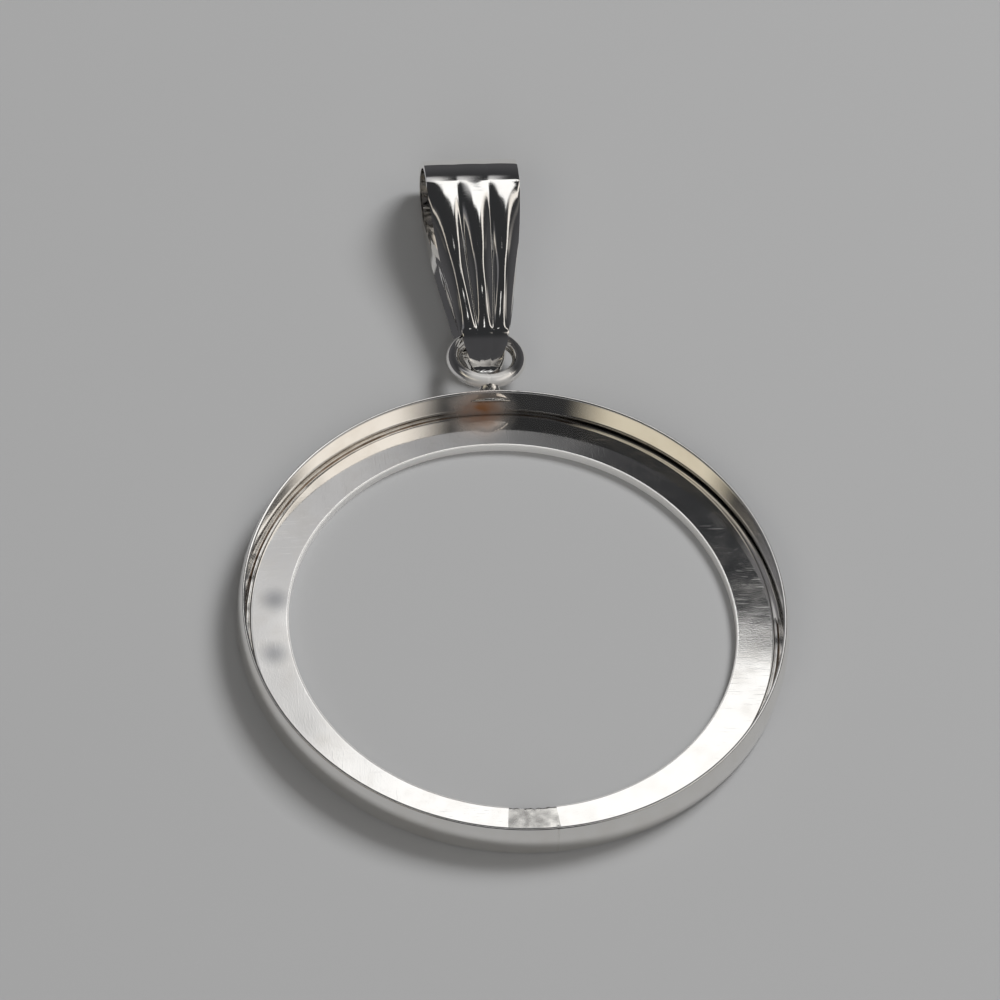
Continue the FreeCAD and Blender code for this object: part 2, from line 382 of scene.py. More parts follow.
def seat_corners(raised):
    seat_r = POCKET_R
    slope = (SEAT_SHOULDER_Z - SEAT_INNER_Z) / (SEAT_SHOULDER_R - WINDOW_R)
    return [
        (WINDOW_R, 0.0),
        (WINDOW_R, SEAT_INNER_Z + raised),
        (WINDOW_R + FLAT_MARGIN, SEAT_INNER_Z + slope * FLAT_MARGIN + raised),
        (SEAT_SHOULDER_R - FLAT_MARGIN, SEAT_SHOULDER_Z - slope * FLAT_MARGIN + raised),
        (SEAT_SHOULDER_R, SEAT_SHOULDER_Z + raised),
        (SEAT_SHOULDER_R + 0.05, SEAT_GROOVE_Z),
        (seat_r, SEAT_GROOVE_Z),
        (seat_r, 0.0),
    ]


class BEZEL_OT_seat_joint(bpy.types.Operator):
    """Make the filler between the seat's ends: filed, a shade proud and a little ragged at the window"""

    bl_idname = "bezel.seat_joint"
    bl_label = "Seat joint filler"
    bl_options = {"REGISTER", "UNDO"}

    def execute(self, context):
        sizes = context.scene.bezel_sizes
        gap = 2 * math.asin(SEAT_JOINT_W / 2 / (POCKET_R - SEAT_W / 2))
        start = math.radians(-90) - gap / 2
        sense = spin_sense()
        corners = seat_corners(JOINT_RAISE)
        corners[0] = (WINDOW_R + FILLER_INSET, 0.0)
        corners[1] = (WINDOW_R + FILLER_INSET, SEAT_INNER_Z + JOINT_RAISE)
        corners[2] = (WINDOW_R + FILLER_INSET + FLAT_MARGIN, corners[2][1])
        piece = section("seat_filler", corners, start)
        soften(piece, corners[1], 0.05, 3)
        soften(piece, corners[4], 0.07, 3)
        bpy.ops.mesh.select_all(action="SELECT")
        bpy.ops.mesh.spin(steps=FILLER_STEPS, angle=sense * gap, center=(0, 0, 0), axis=(0, 0, 1))
        for i, push in enumerate(FILLER_PUSHES):
            angle = start + gap * (i + 1) / (len(FILLER_PUSHES) + 1)
            inner = Vector((math.cos(angle), math.sin(angle), 0)) * (WINDOW_R + FILLER_INSET) * MM

            def at_edge(vertex):
                flat = Vector((vertex.co.x, vertex.co.y, 0))
                return (flat - inner).length < 0.06 * MM

            pick(piece, at_edge)
            bpy.ops.transform.translate(value=inner.normalized() * (push * MM))
        finish_mesh(piece, 40)
        place(piece, "bezel", "solder", "seat_joint_patch")
        paint(piece, solder("Filler solder", sizes, lump=0.0025, pit=0.0002))
        return {"FINISHED"}


class BEZEL_OT_seat_bead(bpy.types.Operator):
    """Lay the thin fillet of solder along the groove between the seat and the wall"""

    bl_idname = "bezel.seat_bead"
    bl_label = "Seat solder"
    bl_options = {"REGISTER", "UNDO"}

    def execute(self, context):
        sizes = context.scene.bezel_sizes
        start_clean()
        bpy.ops.mesh.primitive_torus_add(
            major_radius=(POCKET_R - 0.09) * MM,
            minor_radius=sizes.bead_size,
            major_segments=360,
            minor_segments=14,
            location=(0, 0, BEAD_Z * MM),
        )
        piece = name_piece("seat_bead")
        edit(piece)
        bpy.ops.mesh.select_all(action="SELECT")
        bpy.ops.transform.resize(value=(1, 1, 0.55), center_override=(0, 0, 0))
        low, high = (math.radians(angle) for angle in OPEN_GROOVE)
        for step in range(GROOVE_STEPS):
            inset = (high - low) * 0.5 * step / GROOVE_STEPS

            def in_groove(vertex):
                angle = math.atan2(vertex.co.y, vertex.co.x)
                return low + inset * 0.3 < angle < high - inset * 0.3

            pick(piece, in_groove)
            bpy.ops.transform.translate(value=(0, 0, -GROOVE_DROP / GROOVE_STEPS * MM))
        for turn in BEAD_LUMPS:
            angle = math.radians(turn)
            spot = Vector((math.cos(angle), math.sin(angle), 0)) * POCKET_R * MM
            pick(piece, lambda vertex: (Vector((vertex.co.x, vertex.co.y, 0)) - spot).length < 0.7 * MM)
            bpy.ops.transform.translate(value=-spot.normalized() * (0.02 * MM) + Vector((0, 0, 0.01 * MM)))
        pick(
            piece,
            lambda vertex: vertex.co.y < -(POCKET_R - 0.3) * MM and abs(vertex.co.x) < SEAT_JOINT_W / 2 * MM,
        )
        bpy.ops.transform.translate(value=(0, 0, -0.06 * MM))
        finish_mesh(piece, 180)
        bpy.ops.object.transform_apply(location=True, rotation=True, scale=True)
        place(piece, "bezel", "solder", "seat_solder")
        paint(piece, groove_solder("Groove solder", sizes))
        return {"FINISHED"}


class BEZEL_OT_jump_ring(bpy.types.Operator):
    """Bend the jump ring's wire, with the faint line where its ends meet"""

    bl_idname = "bezel.jump_ring"
    bl_label = "Jump ring"
    bl_options = {"REGISTER", "UNDO"}

    def execute(self, context):
        sizes = context.scene.bezel_sizes
        start_clean()
        bpy.ops.mesh.primitive_torus_add(
            major_radius=RING_R * MM,
            minor_radius=sizes.wire,
            major_segments=144,
            minor_segments=40,
            location=(0, RING_Y * MM, RING_Z * MM),
            rotation=(math.radians(-RING_TILT), 0, 0),
        )
        piece = name_piece("ring_wire")
        bpy.ops.object.transform_apply(location=True, rotation=True, scale=True)
        near = Vector((0, RING_Y * MM - RING_R * MM, RING_Z * MM))
        edit(piece)
        for side, lift in ((-1, 0.012), (1, -0.008)):
            def beside(vertex):
                x = vertex.co.x * side / MM
                return 0.01 < x < 0.12 and vertex.co.y < near.y + 0.7 * MM

            pick(piece, beside)
            bpy.ops.transform.translate(value=(0, 0, lift * MM))
        pick(piece, lambda vertex: abs(vertex.co.x) < 0.01 * MM and vertex.co.y < near.y + 0.7 * MM)
        centre = near + Vector((0, 0, math.sin(math.radians(RING_TILT)) * RING_R * MM))
        bpy.ops.transform.resize(value=(1, 0.95, 0.95), center_override=centre)
        finish_mesh(piece, 60)
        place(piece, "bezel", "silver", "jump_ring")
        # Painted highlight: a matt, pale solder coat on the ring's near side
        paint(piece, silver("Wire silver", sizes, coat_highlight_at=(0.0, RING_Y - RING_R - 0.1, RING_Z + 0.25)))
        return {"FINISHED"}


class BEZEL_OT_ring_solder(bpy.types.Operator):
    """Flow the neck of solder between the wall and the jump ring"""

    bl_idname = "bezel.ring_solder"
    bl_label = "Ring solder"
    bl_options = {"REGISTER", "UNDO"}

    def execute(self, context):
        sizes = context.scene.bezel_sizes
        start_clean()
        tilt = math.radians(RING_TILT)
        near = Vector((0, RING_Y - RING_R * math.cos(tilt), RING_Z + RING_R * math.sin(tilt)))
        root = Vector((0, POCKET_R + 0.12, WALL_H / 2))
        bpy.ops.mesh.primitive_cylinder_add(vertices=40, radius=1 * MM, depth=1 * MM, location=(0, 0, 0))
        piece = name_piece("ring_neck")
        edit(piece)
        levels = len(NECK_RADII)
        pick(piece, lambda vertex: vertex.co.z > 0)
        bpy.ops.mesh.delete(type="VERT")
        along = (near - root) * MM
        turn = Vector((0, 0, 1)).rotation_difference(along)
        pick(piece, lambda vertex: True)
        bpy.ops.transform.translate(value=(0, 0, 0.5 * MM))
        bpy.ops.transform.resize(value=(NECK_RADII[0], NECK_RADII[0] * 0.72, 1), center_override=(0, 0, 0))
        for k in range(1, levels):
            rise = along.length / (levels - 1)
            bpy.ops.mesh.extrude_region_move(TRANSFORM_OT_translate={"value": (0, 0, rise)})
            share = NECK_RADII[k] / NECK_RADII[k - 1]
            bpy.ops.transform.resize(
                value=(share, share * NECK_SQUASH[k], 1),
                center_override=(0, 0, rise * k),
            )
        bpy.ops.mesh.select_all(action="SELECT")
        bpy.ops.mesh.normals_make_consistent(inside=False)
        bpy.ops.object.mode_set(mode="OBJECT")
        piece.rotation_mode = "QUATERNION"
        piece.rotation_quaternion = turn
        piece.location = root * MM
        bpy.ops.object.transform_apply(location=True, rotation=True, scale=True)
        apply_modifier(piece, "SUBSURF", levels=2, render_levels=2)
        edit(piece)
        finish_mesh(piece, 180)
        place(piece, "bezel", "solder", "ring_solder")
        paint(piece, solder("Neck solder", sizes))
        return {"FINISHED"}


def arc_points(centre, radius, start, end, count):
    """Points (y, z, angle of travel) along an arc; angles of travel run from start to end, in radians."""
    side = 1 if end > start else -1
    points = []
    for k in range(count):
        travel = start + (end - start) * k / count
        out = travel - side * math.pi / 2
        points.append((centre[0] + radius * math.cos(out), centre[1] + radius * math.sin(out), travel))
    return points


def line_points(a, b, count, bulge=0.0):
    """Points along a line, or along the shallow bow that bulges from it."""
    travel = math.atan2(b[1] - a[1], b[0] - a[0])
    length = math.hypot(b[0] - a[0], b[1] - a[1])
    points = []
    for k in range(count):
        share = k / count
        rise = bulge * math.sin(math.pi * share) ** 2
        lean = math.atan(bulge * math.pi / length * math.sin(math.tau * share))
        y = a[0] + (b[0] - a[0]) * share - rise * math.sin(travel)
        z = a[1] + (b[1] - a[1]) * share + rise * math.cos(travel)
        points.append((y, z, travel + lean))
    return points


def fillet(before, at, after, radius, count):
    """The rounded corner at a bend of the crest: its tangent points and the stations of its arc."""
    into = math.atan2(at[1] - before[1], at[0] - before[0])
    onward = math.atan2(after[1] - at[1], after[0] - at[0])
    turn = onward - into
    trim = radius * math.tan(abs(turn) / 2)
    first = (at[0] - trim * math.cos(into), at[1] - trim * math.sin(into))
    last = (at[0] + trim * math.cos(onward), at[1] + trim * math.sin(onward))
    side = 1 if turn > 0 else -1
    centre = (first[0] - side * radius * math.sin(into), first[1] + side * radius * math.cos(into))
    return first, last, arc_points(centre, radius, into, onward, count)


def crest():
    """Stations along the strip's outer crest: up the front tail, along the front, round the crown, back."""
    end_y = CROWN_Y + CROWN_R
    tip = (TIP_Y, TIP_Z)
    foot = (TIP_Y + FOOT, TIP_Z)
    bend = (BEND_Y, BEND_Z)
    shoulder = (SHOULDER_Y, BAIL_DEPTH)
    foot_in, foot_out, foot_arc = fillet(tip, foot, bend, FOOT_R, 5)
    bend_in, bend_out, bend_arc = fillet(foot, bend, shoulder, BEND_R, 8)
    shoulder_in, shoulder_out, shoulder_arc = fillet(bend, shoulder, (end_y, BAIL_DEPTH), SHOULDER_R, 8)
    low_r = BAIL_DEPTH - CROWN_R
    stations = tip_points(tip, foot_in, 7)
    stations += foot_arc
    stations += line_points(foot_out, bend_in, 5)
    stations += bend_arc
    stations += line_points(bend_out, shoulder_in, 24, FLANK_BULGE)
    stations += shoulder_arc
    stations += line_points(shoulder_out, (CROWN_Y, BAIL_DEPTH), 5)
    stations += arc_points((CROWN_Y, BAIL_DEPTH - CROWN_R), CROWN_R, 0.0, -math.pi / 2, 12)
    stations += arc_points((end_y - low_r, low_r), low_r, -math.pi / 2, -math.pi, 10)
    back = tip_points((TIP_Y, 0.0), (TIP_Y + 1.4, 0.0), 8)
    stations += line_points((end_y - low_r, 0.0), (TIP_Y + 1.4, 0.0), 26)
    stations += [(y, z, -math.pi) for y, z, travel in reversed(back)]
    return stations


def tip_points(tip, end, count):
    """Stations that crowd towards the tip, where the strip is cut round."""
    points = []
    for k in range(count):
        share = (k / count) ** 2
        points.append((tip[0] + 0.012 + (end[0] - tip[0] - 0.012) * share, tip[1], 0.0))
    return points


def half_width(y, sizes):
    crown, bend, tail = (width / MM / 2 for width in (sizes.crown_width, sizes.bend_width, sizes.tail_width))
    if y < BEND_Y:
        width = tail + (bend - tail) * (y - TIP_Y) / (BEND_Y - TIP_Y)
    else:
        share = min(1.0, (y - BEND_Y) / (CROWN_Y - BEND_Y))
        width = bend + (crown - bend) * (1 - (1 - share) ** TAPER_POWER)
    inside = tail - (y - TIP_Y)
    if inside > 0:
        width = min(width, math.sqrt(max(0.0, tail * tail - inside * inside)))
    return width


def flute_share(y):
    share = min(1.0, max(0.0, (y - BEND_Y) / (CROWN_Y - BEND_Y)))
    return max(FLUTE_LEAST, math.sin(math.pi * share ** FLUTE_SKEW))


def lobe_drop(x):
    """Drop of the strip's face under its crest, at x from -1 to 1 across: lobes and rolled edges."""
    within = (x + 1) * LOBES / 2
    offset = 2 * (within - math.floor(within)) - 1
    return LOBE_DEPTH * offset * offset + EDGE_DROP * x * x


class BEZEL_OT_bail(bpy.types.Operator):
    """Roll the flutes into a flat strip, fold it over at the crown and give it its thickness"""

    bl_idname = "bezel.bail"
    bl_label = "Bail"
    bl_options = {"REGISTER", "UNDO"}

    def execute(self, context):
        sizes = context.scene.bezel_sizes
        stations = crest()
        rows = len(stations)
        columns = COLUMNS
        sense = rotate_sense()
        start_clean()
        bpy.ops.mesh.primitive_grid_add(
            x_subdivisions=columns - 1,
            y_subdivisions=rows - 1,
            size=2 * MM,
            location=(0, 0, 0),
        )
        piece = name_piece("bail_strip")
        if len(piece.data.vertices) != rows * columns:
            raise RuntimeError("the strip's grid has not the rows and columns it was asked for")
        edit(piece)
        for column in range(columns):
            x = -1 + 2 * column / (columns - 1)
            pick(piece, lambda vertex: vertex.index % columns == column)
            bpy.ops.transform.translate(value=(0, 0, -lobe_drop(min(max(x, -0.9999), 0.9999)) * MM))
        for row, (y, z, travel) in enumerate(stations):
            flat_y = (-1 + 2 * row / (rows - 1)) * MM
            width = half_width(y, sizes)
            share = flute_share(y) * min(1.0, width * 2 * MM / sizes.tail_width) ** 2
            pick(piece, lambda vertex: vertex.index // columns == row)
            centre = (0, flat_y, 0)
            bpy.ops.transform.resize(value=(width, 1, share), center_override=centre)
            bpy.ops.transform.rotate(value=sense * travel, orient_axis="X", center_override=centre)
            bpy.ops.transform.translate(value=(0, y * MM - flat_y, z * MM))
        bpy.ops.object.mode_set(mode="OBJECT")
        apply_modifier(
            piece,
            "SOLIDIFY",
            thickness=sizes.sheet,
            offset=-1,
            edge_crease_outer=EDGE_CREASE,
            edge_crease_inner=EDGE_CREASE,
        )
        apply_modifier(piece, "SUBSURF", levels=1, render_levels=1)
        edit(piece)
        finish_mesh(piece, 60)
        place(piece, "bail", "silver", "bail")
        paint(piece, silver("Bail silver", sizes))
        return {"FINISHED"}


def base_material(name):
    """A fresh material, with its shader and the object's own coordinates in millimetres."""
    material = bpy.data.materials.new(name)
    material.use_nodes = True
    tree = material.node_tree
    shader = tree.nodes["Principled BSDF"]
    shader.location = (600, 0)
    coords = add(tree, "ShaderNodeTexCoord", (-1400, 0), "Coordinates")
    in_mm = add(tree, "ShaderNodeVectorMath", (-1200, 0), "In millimetres", operation="SCALE")
    in_mm.inputs["Scale"].default_value = 1 / MM
    tree.links.new(coords.outputs["Object"], in_mm.inputs[0])
    return material, tree, shader, in_mm.outputs["Vector"]


def add(tree, kind, spot, label, **settings):
    node = tree.nodes.new(kind)
    node.location = spot
    node.label = label
    for key, value in settings.items():
        setattr(node, key, value)
    return node


def noise(tree, where, spot, label, scale, detail, stretch=None):
    """Noise of the given grain per millimetre, drawn out along an axis where a stretch is given."""
    node = add(tree, "ShaderNodeTexNoise", spot, label)
    node.inputs["Scale"].default_value = scale
    node.inputs["Detail"].default_value = detail
    if stretch:
        turn = add(tree, "ShaderNodeMapping", (spot[0] - 200, spot[1]), label + " direction")
        turn.inputs["Scale"].default_value = stretch[:3]
        turn.inputs["Rotation"].default_value = (0, 0, math.radians(stretch[3]))
        tree.links.new(where, turn.inputs["Vector"])
        where = turn.outputs["Vector"]
    tree.links.new(where, node.inputs["Vector"])
    return node.outputs["Fac"]


def remap(tree, value, spot, label, low, high, to_low, to_high, smooth=False):
    node = add(tree, "ShaderNodeMapRange", spot, label)
    if smooth:
        node.interpolation_type = "SMOOTHSTEP"
    node.inputs["From Min"].default_value = low
    node.inputs["From Max"].default_value = high
    node.inputs["To Min"].default_value = to_low
    node.inputs["To Max"].default_value = to_high
    tree.links.new(value, node.inputs["Value"])
    return node.outputs["Result"]


def blend_colours(tree, share, first, second, spot, label):
    node = add(tree, "ShaderNodeMix", spot, label, data_type="RGBA")
    for name, colour in (("A", first), ("B", second)):
        socket = next(s for s in node.inputs if s.name == name and s.type == "RGBA")
        if isinstance(colour, tuple):
            socket.default_value = (*colour, 1)
        else:
            tree.links.new(colour, socket)
    tree.links.new(share, node.inputs["Factor"])
    return next(s for s in node.outputs if s.type == "RGBA")


def math_node(tree, operation, first, second, spot, label):
    node = add(tree, "ShaderNodeMath", spot, label, operation=operation)
    for i, value in enumerate((first, second)):
        if isinstance(value, (int, float)):
            node.inputs[i].default_value = value
        elif value is not None:
            tree.links.new(value, node.inputs[i])
    return node.outputs[0]


def bump(tree, height, depth, spot, label, under=None):
    node = add(tree, "ShaderNodeBump", spot, label)
    node.inputs["Strength"].default_value = 1.0
    node.inputs["Distance"].default_value = depth
    tree.links.new(height, node.inputs["Height"])
    if under:
        tree.links.new(under, node.inputs["Normal"])
    return node.outputs["Normal"]


def near_point(tree, where, point, reach, spot, label):
    """One at a point, falling to nothing at the given reach, in millimetres."""
    away = add(tree, "ShaderNodeVectorMath", spot, label + " distance", operation="DISTANCE")
    away.inputs[1].default_value = point
    tree.links.new(where, away.inputs[0])
    return remap(
        tree,
        away.outputs["Value"],
        (spot[0] + 200, spot[1]),
        label,
        0.0,
        reach,
        1.0,
        0.0,
        smooth=True,
    )


def silver(name, sizes, stain=False, filed_highlight_edge=False, shade_spots=(), coat_highlight_at=None):
    """Polished silver: gentle waves from hand work, fine handling scratches, faint tarnish; where asked, a
    heat stain, spots of painted shade, a filed window edge painted matt white as a highlight, and a matt
    solder coat painted pale as a highlight.
    """
    material, tree, shader, where = base_material(name)
    shader.inputs["Metallic"].default_value = 1.0
    wide = noise(tree, where, (-900, 300), "Broad waves", 0.22, 1.0)
    cloud = noise(tree, where, (-900, 100), "Tarnish clouds", 0.9, 5.0)
    grain = noise(tree, where, (-900, -100), "Polishing grain", 14.0, 4.0)
    lines = noise(tree, where, (-900, -300), "Long scratches", 1.0, 3.0, (0.7, 16.0, 3.0, 24.0))
    cross = noise(tree, where, (-900, -500), "Cross scratches", 1.0, 3.0, (13.0, 0.9, 3.0, -17.0))
    tarnish = remap(tree, cloud, (-600, 100), "Tarnish share", 0.45, 0.75, 0.0, 0.35)
    colour = blend_colours(tree, tarnish, tuple(sizes.silver), tuple(sizes.tarnish), (-300, 200), "Silver")
    rough = remap(tree, cloud, (-600, -100), "Polish", 0.3, 0.7, sizes.polish * 0.6, sizes.polish * 1.5)
    matt = None
    # Painted shade: darker grey spots mixed into the silver's colour
    for point in shade_spots:
        spot = near_point(tree, where, point, SHADE_SPOT_REACH, (-900, 1200), "Painted shade spot")
        part = math_node(tree, "MULTIPLY", spot, SHADE_SPOT_SHARE, (-300, 1200), "Painted shade share")
        colour = blend_colours(tree, part, colour, SHADE_SPOT_COLOUR, (-100, 1200), "Silver with painted shade")
    # Painted highlight: a solder coat, less metallic and rougher, turns the ring's near side pale
    if coat_highlight_at:
        pale_coat_share = near_point(tree, where, coat_highlight_at, COAT_HIGHLIGHT_REACH, (-900, 1000), "Solder coat with painted highlight")
        matt = remap(tree, pale_coat_share, (-300, 1000), "Pale coat highlight share", 0.1, 0.6, 0.0, 0.75, smooth=True)
        lift = math_node(tree, "MULTIPLY", matt, 0.2, (-100, 1000), "Coat roughness")
        rough = math_node(tree, "ADD", rough, lift, (0, 1000), "Coated finish")
    if stain:
        mark = near_point(tree, where, STAIN_AT, STAIN_REACH, (-900, 700), "Heat stain")
        patchy = remap(tree, cloud, (-600, 500), "Stain edge", 0.35, 0.6, 0.4, 1.0)
        share = math_node(tree, "MULTIPLY", mark, patchy, (-300, 600), "Stain share")
        colour = blend_colours(tree, share, colour, STAIN_COLOUR, (0, 300), "Stained silver")
        matt = share
    # Painted highlight: the filed edge of the window made matt white, as the bright line along it
    if filed_highlight_edge:
        flat = add(tree, "ShaderNodeVectorMath", (-900, 900), "Radius", operation="LENGTH")
        level = add(tree, "ShaderNodeVectorMath", (-1100, 900), "Flattened", operation="MULTIPLY")
        level.inputs[1].default_value = (1, 1, 0)
        tree.links.new(where, level.inputs[0])
        tree.links.new(level.outputs["Vector"], flat.inputs[0])
        edge = remap(tree, flat.outputs["Value"], (-600, 900), "Filed edge, painted highlight", 10.64, 10.70, 1.0, 0.0)
        colour = blend_colours(tree, edge, colour, FILED_HIGHLIGHT_COLOUR, (200, 300), "Filed silver, painted highlight")
        matt = math_node(tree, "MAXIMUM", matt, edge, (0, 900), "Stained or filed highlight")
        rise = math_node(tree, "MULTIPLY", edge, 0.34, (-300, -150), "Filed roughness")
        rough = math_node(tree, "ADD", rough, rise, (0, -150), "Finish")
    if matt:
        bare = remap(tree, matt, (200, 600), "Bare metal", 0.0, 1.0, 1.0, 0.1)
        tree.links.new(bare, shader.inputs["Metallic"])
    tree.links.new(colour, shader.inputs["Base Color"])
    tree.links.new(rough, shader.inputs["Roughness"])
    normal = bump(tree, wide, sizes.waviness, (-300, -300), "Waves")
    both = math_node(tree, "MAXIMUM", lines, cross, (-600, -400), "Scratches")
    sharp = remap(tree, both, (-450, -400), "Scratch lines", 0.62, 0.72, 0.0, 1.0)
    normal = bump(tree, sharp, 0.00025 * MM, (-100, -400), "Scratch depth", normal)
    normal = bump(tree, grain, 0.0006 * MM, (100, -400), "Grain depth", normal)
    tree.links.new(normal, shader.inputs["Normal"])
    return material


def solder(name, sizes, dark=False, lump=0.02, pit=0.004):
    """Solder: a shade yellower and duller than the sheet, lumpy, with darker pores."""
    material, tree, shader, where = base_material(name)
    shader.inputs["Metallic"].default_value = 1.0
    cloud = noise(tree, where, (-900, 200), "Cloud noise", 1.8, 4.0)
    lumps = noise(tree, where, (-900, 0), "Lumps", 2.6, 2.0)
    pores = noise(tree, where, (-900, -200), "Pores", 11.0, 3.0)
    share = remap(tree, cloud, (-600, 200), "Patch share", 0.4, 0.68, 0.0, 1.0 if dark else 0.45)
    colour = blend_colours(
        tree,
        share,
        tuple(sizes.solder),
        FLUX_DARK if dark else FLUX_PALE,
        (-300, 200),
        "Solder colour",
    )
    rough = remap(tree, cloud, (-600, 0), "Solder finish", 0.3, 0.7, 0.12, 0.30)
    tree.links.new(colour, shader.inputs["Base Color"])
    tree.links.new(rough, shader.inputs["Roughness"])
    normal = bump(tree, lumps, lump * MM, (-300, -100), "Lump height")
    pits = remap(tree, pores, (-600, -300), "Pits", 0.28, 0.42, 0.0, 1.0)
    normal = bump(tree, pits, pit * MM, (0, -200), "Pit depth", normal)
    tree.links.new(normal, shader.inputs["Normal"])
    return material


def groove_solder(name, sizes):
    """Bright solder level with the seat, with patchy brown painted shade along the line where it meets the
    wall.
    """
    material, tree, shader, where = base_material(name)
    shader.inputs["Metallic"].default_value = 1.0
    shader.inputs["Roughness"].default_value = 0.14
    level = add(tree, "ShaderNodeVectorMath", (-900, 300), "Flattened", operation="MULTIPLY")
    level.inputs[1].default_value = (1, 1, 0)
    radius = add(tree, "ShaderNodeVectorMath", (-700, 300), "Radius", operation="LENGTH")
    tree.links.new(where, level.inputs[0])
    tree.links.new(level.outputs["Vector"], radius.inputs[0])
    line = remap(
        tree,
        radius.outputs["Value"],
        (-500, 300),
        "At the wall",
        POCKET_R - 0.09,
        POCKET_R - 0.03,
        0.0,
        0.9,
    )
    cloud = noise(tree, where, (-900, 0), "Cloud noise", 1.3, 3.0)
    patchy = remap(tree, cloud, (-500, 0), "Patch share", 0.35, 0.6, 0.55, 1.0)
    # Painted shade: patchy brown along the corner at the wall
    share = math_node(tree, "MULTIPLY", line, patchy, (-300, 200), "Painted groove shade")
    colour = blend_colours(tree, share, tuple(sizes.silver), GROOVE_SHADE_COLOUR, (0, 200), "Solder colour")
    tree.links.new(colour, shader.inputs["Base Color"])
    lumps = noise(tree, where, (-900, -300), "Ripples", 1.2, 1.0)
    tree.links.new(bump(tree, lumps, 0.02 * MM, (-300, -200), "Ripple height"), shader.inputs["Normal"])
    return material


def floor_paper(name, sizes):
    """Plain pale grey card with the faintest mottling."""
    material, tree, shader, where = base_material(name)
    cloud = noise(tree, where, (-600, 0), "Mottling", 0.05, 2.0)
    colour = blend_colours(
        tree,
        cloud,
        tuple(c * 0.99 for c in sizes.card),
        tuple(c * 1.01 for c in sizes.card),
        (0, 0),
        "Card",
    )
    tree.links.new(colour, shader.inputs["Base Color"])
    shader.inputs["Roughness"].default_value = 0.9
    shader.inputs["Specular IOR Level"].default_value = 0.1
    return material


def paint(piece, material):
    piece.data.materials.clear()
    piece.data.materials.append(material)


class BEZEL_OT_joints(bpy.types.Operator):
    """Give the wall's seam and the solder between the bail's tails their finish"""

    bl_idname = "bezel.joints"
    bl_label = "Soldered joints"
    bl_options = {"REGISTER", "UNDO"}

    def execute(self, context):
        sizes = context.scene.bezel_sizes
        for node in ("wall_seam_solder", "bail_solder"):
            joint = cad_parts.get(node)
            if joint is None:
                raise RuntimeError(f"the frame has no node {node}")
            material = solder(f"{node} finish", sizes, dark=node == "bail_solder")
            for material_slot in joint.material_slots:
                material_slot.material = material
        return {"FINISHED"}


def band(tree, value, low, high, soft, spot, label):
    """One between two limits, with soft edges."""
    enters = remap(tree, value, spot, label + " from", low - soft, low + soft, 0.0, 1.0, smooth=True)
    leaves = remap(
        tree,
        value,
        (spot[0], spot[1] - 160),
        label + " to",
        high - soft,
        high + soft,
        1.0,
        0.0,
        smooth=True,
    )
    return math_node(tree, "MULTIPLY", enters, leaves, (spot[0] + 160, spot[1]), label)


